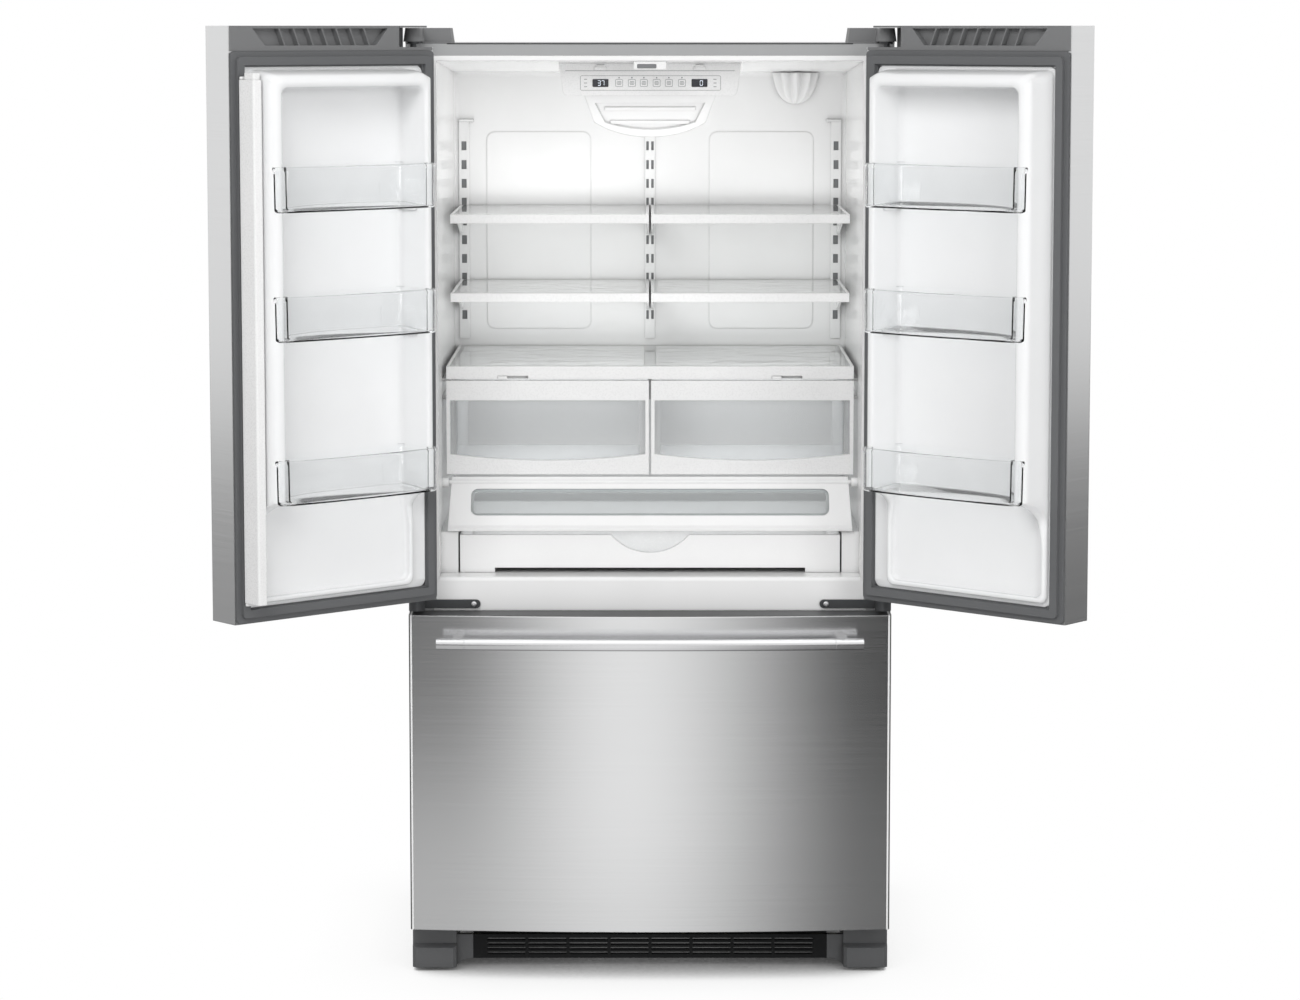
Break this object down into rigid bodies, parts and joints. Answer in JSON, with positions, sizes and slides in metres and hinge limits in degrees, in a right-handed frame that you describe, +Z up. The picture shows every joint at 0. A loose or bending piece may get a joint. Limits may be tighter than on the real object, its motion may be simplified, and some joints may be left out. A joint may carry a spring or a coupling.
{
  "type": "french door refrigerator",
  "caption": "Upright french door refrigerator with a bottom freezer drawer, bowed steel fronts, bar handles, glass shelves, crispers, a pantry drawer and clear door bins.",
  "frame": {"origin": "on the floor under the middle of the part as it stands with both doors open", "axes": "+X to the right as seen from the front, +Y to the back, +Z up"},
  "size_m": [1.568, 1.1659, 1.783],
  "materials": {
    "stainless_skin": "satin",
    "stainless_bar": "satin",
    "cabinet_paint": "satin",
    "foam": "matte",
    "liner_white": "gloss",
    "trim_white": "satin",
    "rail_steel": "satin",
    "dark_plastic": "matte",
    "gasket_grey": "matte",
    "clear_plastic": "gloss",
    "lamp_plastic": "satin",
    "shelf_pane": "gloss",
    "coil_aluminium": "satin",
    "black_paint": "gloss"
  },
  "bodies": {
    "cabinet": {"cabinet_shell": "cabinet_paint", "back_panel": "cabinet_paint", "foam_core": "foam", "fresh_food_liner": "liner_white", "freezer_liner": "liner_white", "centre_rail": "rail_steel", "top_hinges": "rail_steel", "lower_hinges": "dark_plastic", "hinge_covers": "dark_plastic", "mullion_guide": "trim_white", "base_frame": "rail_steel", "base_grille": "dark_plastic", "foot_covers": "dark_plastic", "levelling_feet": "rail_steel", "control_panel": "trim_white", "light_cover": "lamp_plastic", "ribbed_lens": "lamp_plastic", "shelf_tracks": "rail_steel", "half_shelf_frames": "trim_white", "shelf_glass": "shelf_pane", "crisper_cover": "trim_white", "evaporator": "coil_aluminium", "evaporator_cover": "liner_white", "compressor": "black_paint", "condenser": "coil_aluminium", "drain_pan": "dark_plastic", "machine_cover": "cabinet_paint", "freezer_rails": "rail_steel"},
    "left_door": {"left_door_panel": "stainless_skin", "left_door_caps": "dark_plastic", "left_door_liner": "liner_white", "left_door_gasket": "gasket_grey", "left_door_handle": "stainless_bar", "left_door_bins": "clear_plastic"},
    "right_door": {"right_door_panel": "stainless_skin", "right_door_caps": "dark_plastic", "right_door_liner": "liner_white", "right_door_gasket": "gasket_grey", "right_door_handle": "stainless_bar", "right_door_bins": "clear_plastic"},
    "flipper": {"flipper_mullion": "trim_white"},
    "left_crisper": {"left_crisper": "clear_plastic", "left_crisper_front": "trim_white"},
    "right_crisper": {"right_crisper": "clear_plastic", "right_crisper_front": "trim_white"},
    "pantry_drawer": {"pantry_drawer": "clear_plastic"},
    "pantry_lid": {"pantry_lid": "trim_white", "pantry_window": "clear_plastic"},
    "freezer_drawer": {"freezer_panel": "stainless_skin", "freezer_gasket": "gasket_grey", "freezer_handle": "stainless_bar", "freezer_slides": "rail_steel", "freezer_bin": "clear_plastic"},
    "freezer_basket": {"freezer_basket": "trim_white"},
    "left_humidity_slider": {"left_humidity_slider": "trim_white"},
    "right_humidity_slider": {"right_humidity_slider": "trim_white"},
    "evaporator_fan": {"evaporator_fan": "dark_plastic"},
    "condenser_fan": {"condenser_fan": "dark_plastic"},
    "left_roller": {"left_roller": "dark_plastic"},
    "right_roller": {"right_roller": "dark_plastic"}
  },
  "joints": [
    {"name": "left_door_hinge", "type": "hinge", "parent": "cabinet", "child": "left_door", "pos_m": [-0.4348, -0.2068, 1.25], "axis": [0, 0, -1], "range_deg": [-139.5, 0]},
    {"name": "right_door_hinge", "type": "hinge", "parent": "cabinet", "child": "right_door", "pos_m": [0.4348, -0.2068, 1.25], "axis": [0, 0, 1], "range_deg": [-139.5, 0]},
    {"name": "flipper_hinge", "type": "hinge", "parent": "left_door", "child": "flipper", "pos_m": [-0.71339, -0.522, 1.25], "axis": [0, 0, 1], "range_deg": [-90, 0]},
    {"name": "left_crisper_slide", "type": "slide", "parent": "cabinet", "child": "left_crisper", "axis": [0, -1, 0], "range_m": [0, 0.3]},
    {"name": "right_crisper_slide", "type": "slide", "parent": "cabinet", "child": "right_crisper", "axis": [0, -1, 0], "range_m": [0, 0.3]},
    {"name": "pantry_slide", "type": "slide", "parent": "cabinet", "child": "pantry_drawer", "axis": [0, -1, 0], "range_m": [0, 0.3]},
    {"name": "pantry_lid_hinge", "type": "hinge", "parent": "cabinet", "child": "pantry_lid", "pos_m": [0, -0.036, 0.917], "axis": [-1, 0, 0], "range_deg": [0, 45]},
    {"name": "freezer_slide", "type": "slide", "parent": "cabinet", "child": "freezer_drawer", "axis": [0, -1, 0], "range_m": [0, 0.33]},
    {"name": "freezer_basket_slide", "type": "slide", "parent": "cabinet", "child": "freezer_basket", "axis": [0, -1, 0], "range_m": [0, 0.2]},
    {"name": "left_humidity_slide", "type": "slide", "parent": "cabinet", "child": "left_humidity_slider", "axis": [1, 0, 0], "range_m": [0, 0.036]},
    {"name": "right_humidity_slide", "type": "slide", "parent": "cabinet", "child": "right_humidity_slider", "axis": [1, 0, 0], "range_m": [0, 0.036]},
    {"name": "evaporator_fan_spin", "type": "hinge", "parent": "cabinet", "child": "evaporator_fan", "pos_m": [0, 0.33, 0.56], "axis": [0, -1, 0], "continuous": true},
    {"name": "condenser_fan_spin", "type": "hinge", "parent": "cabinet", "child": "condenser_fan", "pos_m": [0.09, 0.461, 0.166], "axis": [-1, 0, 0], "continuous": true},
    {"name": "left_roller_spin", "type": "hinge", "parent": "cabinet", "child": "left_roller", "pos_m": [-0.388, 0.486, 0.025], "axis": [1, 0, 0], "continuous": true},
    {"name": "right_roller_spin", "type": "hinge", "parent": "cabinet", "child": "right_roller", "pos_m": [0.388, 0.486, 0.025], "axis": [1, 0, 0], "continuous": true}
  ],
  "couplings": [
    {"joint": "freezer_basket_slide", "follows": "freezer_slide", "ratio": 0.6}
  ]
}
